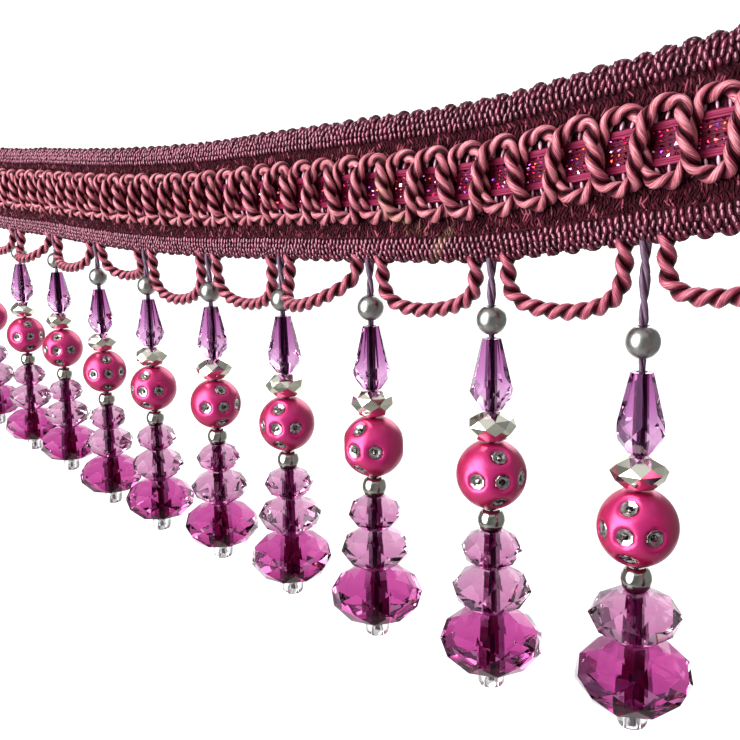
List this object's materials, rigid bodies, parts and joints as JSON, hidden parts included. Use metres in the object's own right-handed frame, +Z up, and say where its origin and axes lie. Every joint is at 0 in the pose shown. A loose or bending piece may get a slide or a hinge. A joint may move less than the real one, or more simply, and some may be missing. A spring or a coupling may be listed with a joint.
{
  "type": "beaded fringe trim",
  "caption": "Hanging length of woven braid trim with a metallic ribbon, gimp cords, cord loops and strung bead drops along its lower edge.",
  "frame": {"origin": "middle of the braid's upper edge, from which the trim hangs", "axes": "+X along the braid, +Z up, the face with the ribbon and cords towards -Y"},
  "size_m": [0.3718, 0.0212, 0.1256],
  "materials": {
    "braid": "woven polyester, burgundy",
    "ribbon": "metallic ribbon with satin edges",
    "gimp_cord": "twisted rayon cord, dusty rose",
    "fringe_cord": "chain border, twisted loops and bead threads",
    "silver": "plated, satin to bright",
    "amethyst": "clear moulded acrylic, amethyst",
    "pearl": "pearl lacquer, hot pink",
    "crystal": "clear faceted acrylic, pale to deep magenta"
  },
  "bodies": {
    "root": {"braid_ground": "braid", "ribbon": "ribbon", "gimp_cord_front": "gimp_cord", "gimp_cord_back": "gimp_cord", "fringe": "fringe_cord", "silver_ball_01": "silver", "teardrop_01": "amethyst", "silver_rondelle_01": "silver", "pearl_01": "pearl", "crystal_stack_01": "crystal", "silver_ball_02": "silver", "teardrop_02": "amethyst", "silver_rondelle_02": "silver", "pearl_02": "pearl", "crystal_stack_02": "crystal", "silver_ball_03": "silver", "teardrop_03": "amethyst", "silver_rondelle_03": "silver", "pearl_03": "pearl", "crystal_stack_03": "crystal", "silver_ball_04": "silver", "teardrop_04": "amethyst", "silver_rondelle_04": "silver", "pearl_04": "pearl", "crystal_stack_04": "crystal", "silver_ball_05": "silver", "teardrop_05": "amethyst", "silver_rondelle_05": "silver", "pearl_05": "pearl", "crystal_stack_05": "crystal", "silver_ball_06": "silver", "teardrop_06": "amethyst", "silver_rondelle_06": "silver", "pearl_06": "pearl", "crystal_stack_06": "crystal", "silver_ball_07": "silver", "teardrop_07": "amethyst", "silver_rondelle_07": "silver", "pearl_07": "pearl", "crystal_stack_07": "crystal", "silver_ball_08": "silver", "teardrop_08": "amethyst", "silver_rondelle_08": "silver", "pearl_08": "pearl", "crystal_stack_08": "crystal", "silver_ball_09": "silver", "teardrop_09": "amethyst", "silver_rondelle_09": "silver", "pearl_09": "pearl", "crystal_stack_09": "crystal", "silver_ball_10": "silver", "teardrop_10": "amethyst", "silver_rondelle_10": "silver", "pearl_10": "pearl", "crystal_stack_10": "crystal", "silver_ball_11": "silver", "teardrop_11": "amethyst", "silver_rondelle_11": "silver", "pearl_11": "pearl", "crystal_stack_11": "crystal"}
  },
  "joints": []
}
